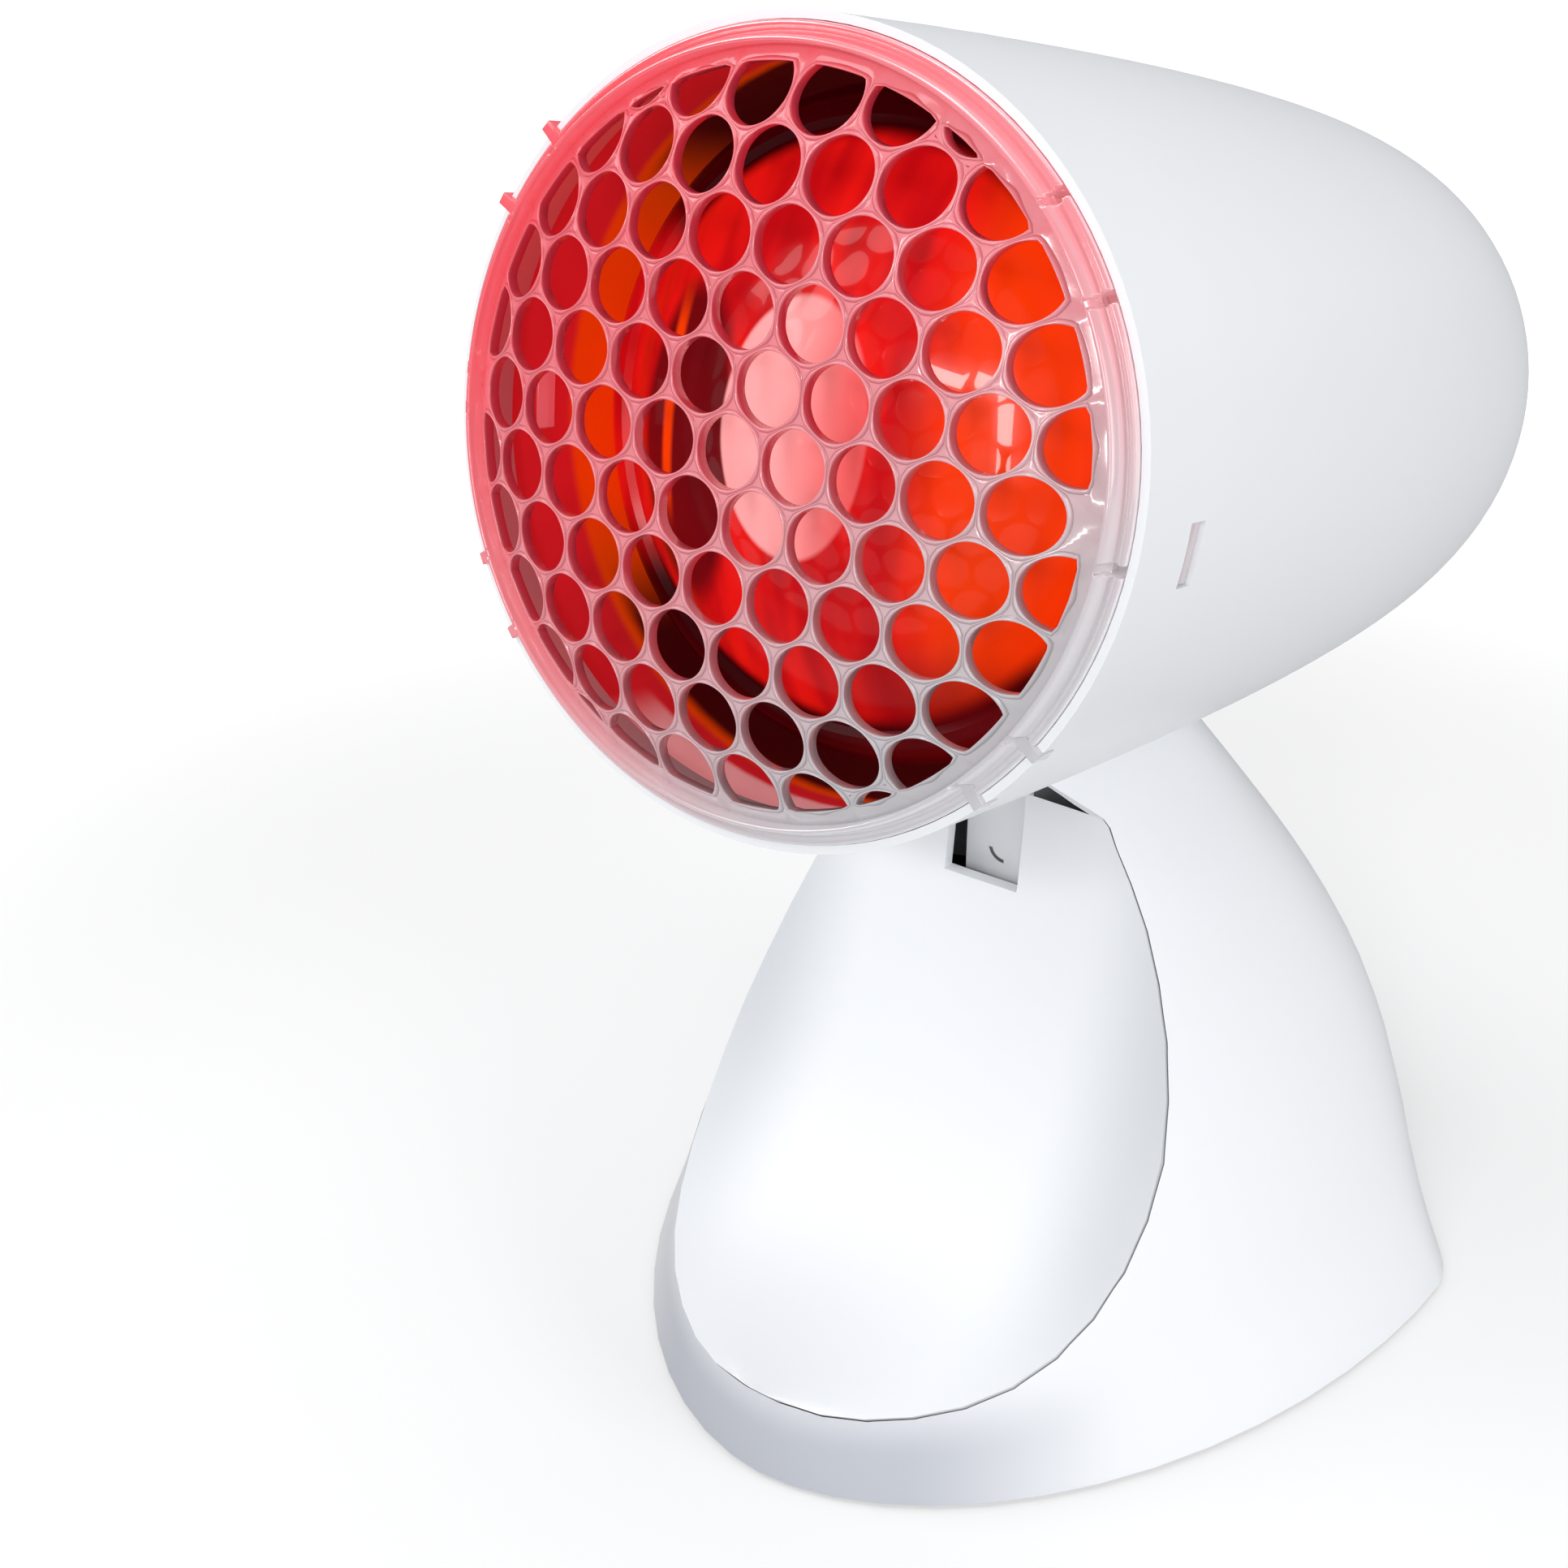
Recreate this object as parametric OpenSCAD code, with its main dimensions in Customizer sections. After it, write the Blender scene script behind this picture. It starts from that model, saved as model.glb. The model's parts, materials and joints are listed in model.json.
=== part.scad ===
// Infrared heat lamp: a bullet-shaped head with a domed honeycomb grille, tilting on a low moulded stand.
// The lamp faces -Y, +Z is up, and the origin is under the middle of the whole lamp. Millimetres.

/* [Head housing] */
// Outer radius of the housing at its front rim
rim_r = 46; // [44:0.5:48]
// Length of the housing from the rim to the rear
head_len = 158; // [150:1:162]
// Height of the centre of the rim plane above the table
head_h = 147; // [145:0.5:150]
// Distance of that centre in front of the middle of the stand
rim_ahead = 70; // [68:0.5:72]
// Exponent of the taper along the housing
taper_power = 1.95; // [1.8:0.05:2.4]
// Exponent of the rounding at the rear end
round_power = 8; // [7:0.2:10]
// Wall thickness of the housing
head_wall = 2; // [1.6:0.1:2.4]
// Depth of the step that the grille sits on
rabbet_depth = 5; // [4:0.5:6]
// Width of the housing's front edge outside the grille
rim_edge = 1; // [0.8:0.1:1.2]
// Number of vent slots in the rear
vent_count = 16; // [8:2:18]
// Width of a vent slot
vent_w = 2.6; // [2:0.2:3]
// Distance of the latch windows behind the rim
latch_back = 12.7; // [12:0.1:14]
// Length of a latch window around the housing
latch_l = 7.2; // [6:0.2:8]
// Width of a latch window along the housing
latch_w = 3.4; // [3:0.2:4]
// Depth of the scoop in the housing's underside
scoop_depth = 5.5; // [4:0.5:6]
// Length of the scoop
scoop_len = 66; // [60:2:70]

/* [Grille] */
// Distance between neighbouring holes
hole_pitch = 8.7; // [8.6:0.05:8.8]
// Web left between two holes
hole_web = 0.5; // [0.4:0.05:0.8]
// Height of the grille's dome above its edge
dome_h = 8.7; // [7:0.1:10]
// Flatness of the dome's middle
dome_flat = 1.2; // [0.8:0.1:1.3]
// Thickness of the grille along the lamp's axis
grille_t = 4.5; // [3.5:0.5:5]
// Width of the plain ring around the holes
ring_w = 2.7; // [2.5:0.1:3]
// Width of the slits beside each snap tab
slit_w = 1.1; // [0.8:0.1:1.4]
// Half of the angle between the slits of a tab
slit_half = 6.5; // [5:0.5:8]

/* [Bulb] */
// Largest radius of the reflector bulb
bulb_r = 40; // [39:0.5:40.5]
// Distance of the bulb's face behind the rim
bulb_back = 5; // [4.5:0.5:7]
// Thickness of the bulb's glass
glass_t = 1.2; // [1:0.1:1.5]

/* [Tilt hinge] */
// Distance of the hinge axis behind the middle of the stand
pivot_back = 6; // [5:0.5:8]
// Height of the hinge axis
pivot_h = 74; // [73:0.5:75]
// Tilt of the head at rest
tilt_rest = 11.2; // [11:0.1:11.6]
// Angle between two stops
tilt_step = 12.5; // [12.2:0.1:12.6]
// Width of the tilt arm
arm_w = 10.4; // [9.6:0.2:11]
// Radius of the hinge pin
pin_r = 2.5; // [2:0.1:3]
// Radius of the arm's notched drum
drum_r = 10.5; // [10:0.5:11]
// Reach of the arm in front of the hinge axis
arm_front = 22.5; // [21:0.5:23]
// Reach of the arm behind the hinge axis
arm_rear = 12; // [11:0.5:14]
// Radius of the ball in the notches
ball_r = 1.6; // [1.4:0.1:1.8]

/* [Stand] */
// Width of the foot
foot_w = 121; // [119:0.5:125]
// Reach of the foot in front of its middle
foot_front = 73.8; // [73:0.1:76]
// Reach of the foot behind its middle
foot_rear = 51; // [50:0.5:54]
// Height at which the stand's curves end, above the cut of the saddle
stand_h = 96; // [94:0.5:98]
// Wall thickness of the stand
stand_wall = 2.2; // [1.8:0.1:2.6]
// Gap between the shell's lower edge and the table
shell_gap = 0.8; // [0.5:0.1:1.5]
// Room kept between the moving head and the stand
saddle_gap = 1; // [0.8:0.1:1.5]

/* [Front panel] */
// Largest half width of the front panel
panel_w = 35.5; // [34:0.1:36]
// Thickness of the front panel along its moulding direction
panel_t = 2.4; // [2:0.1:3]
// Rise of the panel's middle over its edges
panel_crown = 1; // [0.5:0.1:1.5]
// Gap around the panel's edge
panel_gap = 0.2; // [0.15:0.05:0.4]
// Height of the lower edge of the recess for the tilt arm
recess_h = 70; // [68:0.1:71]

/* [Rear fittings] */
// Height of the middle of the switch
switch_h = 31; // [29:0.5:33]
// Width of the switch's rocker
rocker_w = 10; // [9:0.5:11]
// Length of the switch's rocker
rocker_l = 16; // [15:0.5:17]
// Height of the cable inlet
inlet_h = 11; // [10.5:0.5:12]
// Radius of the cable inlet
inlet_r = 3.6; // [3:0.1:4]

/* [Hidden] */
$fn = 64;

eps = 0.01;
white = "#e9ebee";
frost = "#e6a9b4";
ruby = "#b01222";
steel = "#b9bcc0";
brass = "#c9a24a";
ceramic = "#f1efe8";
rubber = "#2b2c2e";
black = "#1d1e20";

// ---- head: profile, places and moves ----
function housing_r(s) = rim_r * pow(max(1 - pow(max(s, 0) / head_len, taper_power), 0), 1 / round_power);
function dome_q(p) = pow(p / (0.94 * rim_r), 2);
function dome_s(p) = dome_h * (1 - dome_q(p)) * (1 + dome_flat * dome_q(p));
rear_flat = 0.58 * rim_r;
flat_s = head_len * pow(1 - pow(rear_flat / rim_r, round_power), 1 / taper_power);
front_reach = max([for (p = [0:1:0.94 * rim_r]) p * sin(tilt_rest) + dome_s(p) * cos(tilt_rest)]);
rear_reach = max([for (i = [0:40]) let (s = flat_s - i) housing_r(s) * sin(tilt_rest) + s * cos(tilt_rest)]);
stand_y = rim_ahead + (front_reach - rear_reach) / 2;
head_y = stand_y - rim_ahead;
pivot_y = stand_y + pivot_back;
pivot_dy = pivot_y - head_y;
pivot_dz = pivot_h - head_h;
pivot_s = pivot_dy * cos(tilt_rest) - pivot_dz * sin(tilt_rest);
pivot_drop = -pivot_dy * sin(tilt_rest) - pivot_dz * cos(tilt_rest);
tilts = [0, 1, 2, 3];
scoop_s = pivot_s + 18;
scoop_r = pow(scoop_len, 2) / (8 * scoop_depth) + scoop_depth / 2;
scoop_drop = housing_r(scoop_s) - scoop_depth + scoop_r;
function under(s) = min(housing_r(s), scoop_drop - sqrt(max(pow(scoop_r, 2) - pow(s - scoop_s, 2), 0)));

// Puts its children in the head: x to the right, y up in the rim's plane, z forward out of the grille
module in_head() {
    translate([0, head_y, head_h]) rotate([90 - tilt_rest, 0, 0]) children();
}
// Turns its children about the hinge axis, front up
module tilted(angle) {
    translate([0, pivot_y, pivot_h]) rotate([-angle, 0, 0]) translate([0, -pivot_y, -pivot_h]) children();
}
// Extrudes a side view, drawn as y and z, evenly to both sides of the middle plane
module side_plate(width) {
    rotate([90, 0, 90]) linear_extrude(width, center = true) children();
}
// Body of revolution inside the housing's outline, back from its surface and a little longer in front
module housing_core(back, count) {
    inner_len = flat_s - back;
    rotate([180, 0, 0]) rotate_extrude() polygon(concat(
        [[0, -1], [rim_r - back, -1]],
        [for (i = [0:count]) let (s = inner_len * pow(i / count, 0.6)) [housing_r(s * flat_s / inner_len) - back, s]],
        [[0, inner_len]]));
}
module scoop(grow) {
    translate([0, -scoop_drop, -scoop_s]) rotate([0, 90, 0])
        cylinder(r = scoop_r + grow, h = 3 * rim_r, center = true, $fn = 128);
}

// ---- head: housing ----
holder_s = 84;
holder_len = 47;
bracket_s = holder_s + holder_len;
bracket_t = 1.5;
boss_x = 27;
boss_r = 4;
screw_r = 1.5;
screw_head_r = 2.8;
screw_head_h = 1.8;
fit_gap = 0.05;
seat_gap = 0.1;
grille_r = rim_r - rim_edge - seat_gap;
latch_angle = -4.5;
arm_screw_s = [pivot_s - 9, pivot_s + 5];

module head_housing() {
    color(white) in_head() difference() {
        housing_core(0, 30);
        difference() {
            housing_core(head_wall, 22);
            scoop(head_wall);
            for (x = [-boss_x, boss_x])
                translate([x, 0, -head_len]) cylinder(r = boss_r, h = head_len - bracket_s - bracket_t);
        }
        scoop(0);
        // plane of the rim
        cylinder(r = 2 * rim_r, h = 3);
        // step for the grille
        translate([0, 0, -rabbet_depth]) cylinder(r = rim_r - rim_edge, h = rabbet_depth + 1);
        // latch windows
        for (a = [latch_angle, 180 - latch_angle]) rotate([0, 0, a])
            translate([rim_r - head_wall - 1, -latch_l / 2, -latch_back - latch_w / 2])
                cube([head_wall + 2, latch_l, latch_w]);
        // vents in the rear
        for (i = [0:vent_count - 1]) rotate([0, 0, (i + 0.5) * 360 / vent_count])
            translate([vent_in, -vent_w / 2, -head_len - 1]) cube([vent_out - vent_in, vent_w, head_wall + 6]);
        // pilot holes of the bracket's screws
        for (x = [-boss_x, boss_x])
            translate([x, 0, -bracket_s - bracket_t - 9]) cylinder(r = screw_r + fit_gap, h = 12);
        // holes for the arm's screws
        for (s = arm_screw_s) translate([0, -under(s) - 3, -s]) rotate([-90, 0, 0])
            cylinder(r = screw_r + fit_gap, h = head_wall + 6);
    }
}
vent_in = 9;
vent_out = 22;

// ---- head: grille ----
hole_r = (hole_pitch - hole_web) / 2;
hole_limit = grille_r - ring_w;
row_counts = [9, 10, 9, 8, 7, 6];
row_step = hole_pitch * sin(60);
tab_angles = [latch_angle, 37, 146, 180 - latch_angle, 214, 320.4];
web_in = 0.5;

function hole_places() = [for (row = [-5:5]) let (n = row_counts[abs(row)])
    for (i = [0:n - 1]) [(i - (n - 1) / 2) * hole_pitch, row * row_step]];

module grille() {
    count = 12;
    color(frost) in_head() {
        difference() {
            union() {
                rotate_extrude() polygon(concat(
                    [for (i = [0:count]) let (p = hole_limit * i / count) [p, dome_s(p)]],
                    [for (i = [count:-1:0]) let (p = hole_limit * i / count) [p, dome_s(p) - grille_t]]));
                // ring with its ridge, groove and edge
                rotate_extrude() polygon([
                    [hole_limit - 1, -rabbet_depth], [grille_r, -rabbet_depth], [grille_r, 0.2],
                    [grille_r - 0.5, 0.9], [grille_r - 1, 0.9], [grille_r - 1.3, 0.3],
                    [grille_r - 1.6, 0.5], [hole_limit + 0.5, 2.2], [hole_limit - 0.2, 2.4], [hole_limit - 1, 2]]);
            }
            intersection() {
                union() for (h = hole_places())
                    translate([h.x, h.y, -rabbet_depth - 1]) cylinder(r = hole_r, h = dome_h + rabbet_depth + 2, $fn = 32);
                translate([0, 0, -rabbet_depth - 2]) cylinder(r = hole_limit, h = dome_h + rabbet_depth + 4);
            }
            // slits beside the snap tabs
            for (a = tab_angles, side = [-1, 1]) rotate([0, 0, a + side * slit_half])
                translate([hole_limit + 0.8, -slit_w / 2, -rabbet_depth - 1])
                    cube([ring_w + 1, slit_w, rabbet_depth + 3]);
        }
        // hooks that snap into the latch windows
        for (a = [latch_angle, 180 - latch_angle]) rotate([0, 0, a]) {
            hook_w = latch_l - 1;
            translate([rim_r - head_wall - 1.4, -hook_w / 2, -latch_back - latch_w / 2 + 0.2])
                cube([1.2, hook_w, latch_back + latch_w / 2 - rabbet_depth + 0.3]);
            translate([rim_r - head_wall - 0.4, -hook_w / 2, -latch_back - latch_w / 2 + 0.2])
                cube([head_wall - 0.4, hook_w, latch_w - 0.4]);
        }
    }
}

// ---- head: bulb ----
cap_s = holder_s + 4;
cap_r = 12.9;
cap_len = 24;
neck_r = 16.5;
widest_s = bulb_back + 19;
neck_s = 74;

// Outline of the glass, from the middle of its face round to the neck
function bulb_profile(back) = concat(
    [for (i = [0:8]) let (a = i * 7.2, big = 52) [big * sin(a / 1.36) * (bulb_r - 4) / 36, bulb_back + big * (1 - cos(a / 1.36))]],
    [for (i = [0:5]) let (a = i * 18) [bulb_r - 4 + 4 * sin(a), widest_s - 6 + 6 * (1 - cos(a))]],
    [for (i = [1:10]) let (t = i / 10) [neck_r + (bulb_r - neck_r) * (1 + cos(180 * t)) / 2, widest_s + (neck_s - widest_s) * t]],
    [[neck_r - 1, holder_s - 4], [cap_r, holder_s - 0.5], [cap_r, cap_s]]);

module bulb_glass() {
    outer = bulb_profile(0);
    last = len(outer) - 1;
    inner = [for (p = outer) [max(p.x - glass_t, 0), p.y + (p.y < widest_s ? glass_t : 0)]];
    color(ruby) in_head() rotate([180, 0, 0]) rotate_extrude()
        polygon(concat(outer, [for (i = [last:-1:0]) inner[i]]));
}
module bulb_cap() {
    rings = 6;
    color(brass) in_head() rotate([180, 0, 0]) rotate_extrude() polygon(concat(
        [[0, cap_s], [cap_r, cap_s], [cap_r, cap_s + 3]],
        [for (i = [0:2 * rings]) [cap_r - (i % 2 == 0 ? 0.9 : 0), cap_s + 4 + i * 1.4]],
        [[7, cap_s + cap_len], [0, cap_s + cap_len]]));
}
module bulb_contact() {
    color(steel) in_head() translate([0, 0, -cap_s - cap_len - 1.6]) cylinder(r1 = 3.5, r2 = 5, h = 1.6);
}
filament_s = 45;
module filament() {
    color(steel) in_head() {
        translate([0, 0, -filament_s]) rotate_extrude() translate([7, 0]) circle(r = 0.5, $fn = 16);
        for (x = [-7, 7]) translate([x, 0, -cap_s]) cylinder(r = 0.5, h = cap_s - filament_s, $fn = 16);
    }
}

// ---- head: lamp holder ----
shell_r = cap_r + 0.9;
holder_r = 19;
module holder_body() {
    color(ceramic) in_head() difference() {
        rotate([180, 0, 0]) rotate_extrude() polygon([
            [shell_r + seat_gap, holder_s], [holder_r - 2, holder_s], [holder_r, holder_s + 2],
            [holder_r, holder_s + 30], [holder_r - 2, holder_s + 34], [holder_r - 2, bracket_s], [0, bracket_s],
            [0, holder_s + 36], [shell_r + seat_gap, holder_s + 36]]);
        for (x = [-8, 8]) translate([x, 0, -bracket_s - 1]) cylinder(r = screw_r + fit_gap, h = 7);
    }
}
module holder_shell() {
    color(brass) in_head() rotate([180, 0, 0]) rotate_extrude() polygon([
        [cap_r + 0.3, holder_s + 3], [shell_r, holder_s + 3], [shell_r, holder_s + 36 - seat_gap],
        [7, holder_s + 36 - seat_gap], [7, holder_s + 35], [cap_r + 0.3, holder_s + 35]]);
}
module holder_contact() {
    contact_s = cap_s + cap_len + 1.6;
    color(brass) in_head() difference() {
        translate([-3, -5.5, -holder_s - 36 + seat_gap]) cube([6, 11, holder_s + 36 - seat_gap - contact_s - seat_gap]);
        translate([-4, -3.5, -holder_s - 35]) cube([8, 12, holder_s + 34 - contact_s]);
    }
}
module holder_bracket() {
    color(steel) in_head() difference() {
        translate([0, 0, -bracket_s - bracket_t]) linear_extrude(bracket_t) hull()
            for (x = [-boss_x, boss_x]) translate([x, 0]) circle(r = boss_r + 1.5, $fn = 48);
        for (x = [-boss_x, boss_x, -8, 8])
            translate([x, 0, -bracket_s - bracket_t - 1]) cylinder(r = screw_r + fit_gap, h = bracket_t + 2);
    }
}
module pan_screw(length) {
    cylinder(r = screw_head_r, h = screw_head_h);
    translate([0, 0, -length]) cylinder(r = screw_r, h = length + eps);
}
module holder_screws() {
    color(steel) in_head() {
        for (x = [-boss_x, boss_x]) translate([x, 0, -bracket_s]) pan_screw(8);
        for (x = [-8, 8]) translate([x, 0, -bracket_s - bracket_t]) rotate([180, 0, 0]) pan_screw(bracket_t + 5);
    }
}

// ---- head: tilt arm ----
notch_angle = 270;
module arm_outline() {
    circle(r = drum_r, $fn = 96);
    polygon([[-arm_front, -7], [-arm_front + 3, -10], [-8, -8], [arm_rear - 2, -3], [arm_rear, 0],
        [arm_rear, 24], [-arm_front, 30]]);
}
module tilt_arm() {
    color(white) difference() {
        translate([0, pivot_y, pivot_h]) side_plate(arm_w) difference() {
            arm_outline();
            circle(r = pin_r + fit_gap);
            for (k = tilts) rotate(notch_angle - k * tilt_step) translate([drum_r + ball_r - 1, 0]) circle(r = ball_r);
        }
        in_head() difference() {
            housing_core(-seat_gap, 20);
            scoop(-seat_gap);
        }
        in_head() for (s = arm_screw_s) translate([0, -under(s) - 10, -s]) rotate([-90, 0, 0])
            cylinder(r = screw_r + fit_gap, h = 20);
    }
}
module arm_screws() {
    color(steel) in_head() for (s = arm_screw_s)
        translate([0, -under(s) + head_wall + 0.9, -s]) rotate([-90, 0, 0]) pan_screw(9);
}

// ---- stand: shell ----
// Smooth curve through values v given at places t
function step_at(t, x) = max([for (i = [0:len(t) - 2]) if (i == 0 || t[i] <= x) i]);
function slope_at(t, v, i) = let (a = max(i - 1, 0), b = min(i + 1, len(t) - 1)) (v[b] - v[a]) / (t[b] - t[a]);
function through(t, v, x) = let (i = step_at(t, x), w = t[i + 1] - t[i], u = min(max((x - t[i]) / w, 0), 1))
    v[i] * (1 + 2 * u) * pow(1 - u, 2) + v[i + 1] * u * u * (3 - 2 * u)
    + w * (slope_at(t, v, i) * u * pow(1 - u, 2) - slope_at(t, v, i + 1) * u * u * (1 - u));
// At each share of the height: half width, reach and section power behind and in front, and widest place
stand_levels = [0, 0.07, 0.15, 0.26, 0.385, 0.52, 0.665, 0.81, 0.96];
wide_share = [1, 0.948, 0.886, 0.813, 0.728, 0.631, 0.516, 0.39, 0.255];
rear_share = [1, 1, 1, 0.995, 0.955, 0.85, 0.687, 0.486, 0.264];
front_share = [1, 0.999, 0.992, 0.96, 0.901, 0.821, 0.724, 0.621, 0.516];
mid_share = [0.262, 0.243, 0.222, 0.193, 0.158, 0.119, 0.077, 0.036, -0.005];
rear_power = [1.75, 1.85, 2.06, 2.37, 2.64, 2.77, 2.75, 2.66, 2.5];
front_power = [1.85, 1.83, 1.83, 1.85, 1.9, 1.99, 2.12, 2.18, 2.12];
function level(z) = z / stand_h;
function stand_a(z) = foot_w / 2 * through(stand_levels, wide_share, level(z));
function stand_rear(z) = foot_rear * through(stand_levels, rear_share, level(z));
function stand_front(z) = foot_front * through(stand_levels, front_share, level(z));
function stand_mid(z) = foot_front * through(stand_levels, mid_share, level(z));
function stand_power(z, behind) = through(stand_levels, behind ? rear_power : front_power, level(z));
function stand_ring(z, back, count) = [for (i = [0:count - 1]) let (
    a = i * 360 / count, e = 2 / stand_power(z, sin(a) > 0),
    deep = sin(a) > 0 ? stand_rear(z) - stand_mid(z) - back : stand_front(z) + stand_mid(z) - back)
    [(stand_a(z) - back) * sign(cos(a)) * pow(abs(cos(a)), e),
        stand_mid(z) + deep * sign(sin(a)) * pow(abs(sin(a)), e)]];

// Solid through a stack of closed rings that all have as many points
module loft(rings) {
    n = len(rings[0]);
    m = len(rings);
    points = [for (r = rings) each r];
    polyhedron(points, concat(
        [[for (j = [0:n - 1]) j]], [[for (j = [n - 1:-1:0]) (m - 1) * n + j]],
        [for (i = [0:m - 2], j = [0:n - 1]) let (k = (j + 1) % n) [i * n + j, (i + 1) * n + j, (i + 1) * n + k]],
        [for (i = [0:m - 2], j = [0:n - 1]) let (k = (j + 1) % n) [i * n + j, (i + 1) * n + k, i * n + k]]), 4);
}
module stand_body(back, low, levels, count) {
    top = stand_h;
    translate([0, stand_y, 0]) loft([for (i = [0:levels]) let (z = low + (top - low) * i / levels)
        [for (p = stand_ring(z, back, count)) [p.x, p.y, z]]]);
}
// Room that the head needs over all its tilts
module head_room(gap) {
    for (k = [tilts[0], (tilts[0] + tilts[3]) / 2, tilts[3]]) tilted(k * tilt_step) in_head() rotate([180, 0, 0])
        rotate_extrude($fn = 48) polygon(concat([[0, -12], [rim_r + gap, -12]],
            [for (i = [0:8]) let (s = flat_s * pow(i / 8, 0.6)) [housing_r(s) + gap, s + (i == 8 ? gap : 0)]],
            [[0, flat_s + gap]]));
}

// ---- stand: front panel ----
toe_y = foot_front;
toe_z = 15;
panel_top = stand_h - 11;
panel_top_y = 20;
panel_curve = 0.55;
pull = [0, -sqrt(0.5), sqrt(0.5)];
// Half width of the panel over its turn from the toe to the top
panel_turns = [0, 4, 9, 15, 22, 30, 40, 50, 60, 70, 80, 90];
panel_share = [0.02, 0.165, 0.325, 0.507, 0.707, 0.879, 0.989, 0.992, 0.885, 0.721, 0.558, 0.493];
function panel_mid(f, extra) = [0, -panel_top_y - (toe_y + extra - panel_top_y) * pow(pow(cos(f), 2), 1 / panel_curve),
    toe_z + (panel_top - toe_z) * pow(pow(sin(f), 2), 1 / panel_curve)];
function panel_half(f, extra) = extra + panel_w * through(panel_turns, panel_share, f);
module panel_slab(extra, from, to) {
    rows = 18;
    columns = 10;
    translate([0, stand_y, 0]) loft([for (i = [0:rows]) let (
        f = 1.5 + i * 88.5 / rows, p = panel_mid(f, extra), w = panel_half(f, extra))
        concat(
            [for (j = [0:columns]) let (u = 2 * j / columns - 1)
                p + [u * w, 0, 0] + (to - panel_crown * u * u) * pull],
            [for (j = [columns:-1:0]) let (u = 2 * j / columns - 1)
                p + [u * w, 0, 0] + (from - panel_crown * u * u) * pull])]);
}

// ---- stand: places of what the shell carries ----
plate_z = shell_gap + 0.8;
plate_t = 2.4;
plate_top = plate_z + plate_t;
plate_gap = 0.6;
stand_bosses = [[-38, -34], [38, -34], [-36, 30], [36, 30]];
stand_boss_r = 4;
foot_places = [[-24, -48], [24, -48], [-25, 33], [25, 33]];
foot_r = 7;
yoke_t = 3.4;
washer_t = 0.9;
cheek_in = arm_w / 2 + washer_t + 2 * seat_gap;
cheek_out = cheek_in + yoke_t;
cheek_r = 6.6;
yoke_z = pivot_h - 19;
flange_t = 3;
yoke_screw_x = 19;
slot_w = arm_w + 1.4;
pin_head_h = 1.2;
switch_slope = atan((stand_rear(switch_h - 5) - stand_rear(switch_h + 5)) / 10);
inlet_slope = atan((stand_rear(inlet_h - 5) - stand_rear(inlet_h + 5)) / 10);
inlet_seat = 1.2;
gland_wall = 1.6;
gland_flange = 3.4;
gland_in = 9;
gland_out = 1;

module at_switch() {
    translate([0, stand_y + stand_rear(switch_h), switch_h]) rotate([switch_slope - 90, 0, 0]) children();
}
module at_inlet() {
    translate([0, stand_y + stand_rear(inlet_h), inlet_h]) rotate([inlet_slope - 90, 0, 0]) children();
}
bezel_w = rocker_w + 5;
bezel_l = rocker_l + 5;
bezel_t = 2;
bezel_seat = 1;
frame_w = rocker_w + 2.6;
frame_l = rocker_l + 2.6;
frame_depth = 13;

// Boss that stands up from the origin's height, with a rib that runs outwards from it
module ribbed_boss(place, outward, r) {
    hull() {
        translate([place.x, place.y, 0]) cylinder(r = r, h = stand_h, $fn = 32);
        translate([place.x, place.y, 0] + 8 * [outward.x, outward.y, 0]) cylinder(r = 0.8, h = stand_h, $fn = 16);
    }
}
module rounded_block(width, length, height, corner) {
    hull() for (x = [-1, 1], y = [-1, 1])
        translate([x * (width / 2 - corner), y * (length / 2 - corner), 0]) cylinder(r = corner, h = height, $fn = 24);
}

module stand_shell() {
    color(white) difference() {
        stand_body(0, shell_gap, 18, 60);
        head_room(saddle_gap);
        difference() {
            stand_body(stand_wall, shell_gap - 1, 10, 40);
            head_room(saddle_gap + stand_wall);
            // bosses for the base plate and for the yoke, each with a rib out to the wall
            translate([0, stand_y, plate_top]) for (p = stand_bosses)
                ribbed_boss(p, p / norm(p), stand_boss_r);
            translate([0, pivot_y, yoke_z + flange_t]) for (x = [-1, 1])
                ribbed_boss([x * yoke_screw_x, 0], [x, 0], boss_r);
        }
        panel_slab(panel_gap, -panel_t - seat_gap, 80);
        // slot for the arm
        translate([0, pivot_y, pivot_h]) side_plate(slot_w) {
            circle(r = arm_rear + 7, $fn = 96);
            translate([-arm_front - 8, -8]) square([arm_front + 8, 40]);
            translate([-arm_front - 8, -18]) square([arm_front + 2, 12]);
        }
        // pilot holes of the bosses
        translate([0, stand_y, plate_top - 1]) for (p = stand_bosses) translate(p)
            cylinder(r = screw_r + fit_gap, h = 11);
        for (x = [-yoke_screw_x, yoke_screw_x])
            translate([x, pivot_y, yoke_z + flange_t - 1]) cylinder(r = screw_r + fit_gap, h = 9);
        // seat and window of the switch
        at_switch() {
            translate([0, 0, -bezel_seat]) rounded_block(bezel_w + 0.4, bezel_l + 0.4, 12, 0.8);
            translate([0, 0, -12]) rounded_block(frame_w + 0.4, frame_l + 0.4, 20, 0.3);
        }
        // cable inlet
        at_inlet() {
            translate([0, 0, -20]) cylinder(r = inlet_r + gland_wall + seat_gap, h = 40);
            translate([0, 0, -inlet_seat]) cylinder(r = inlet_r + gland_flange + seat_gap, h = 20);
        }
    }
}
module front_panel() {
    color(white) difference() {
        panel_slab(0, -panel_t, 0);
        head_room(saddle_gap);
        // recess in front of the arm
        translate([-slot_w / 2, stand_y - panel_top_y - 20, recess_h]) cube([slot_w, 40, stand_h]);
    }
}

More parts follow.
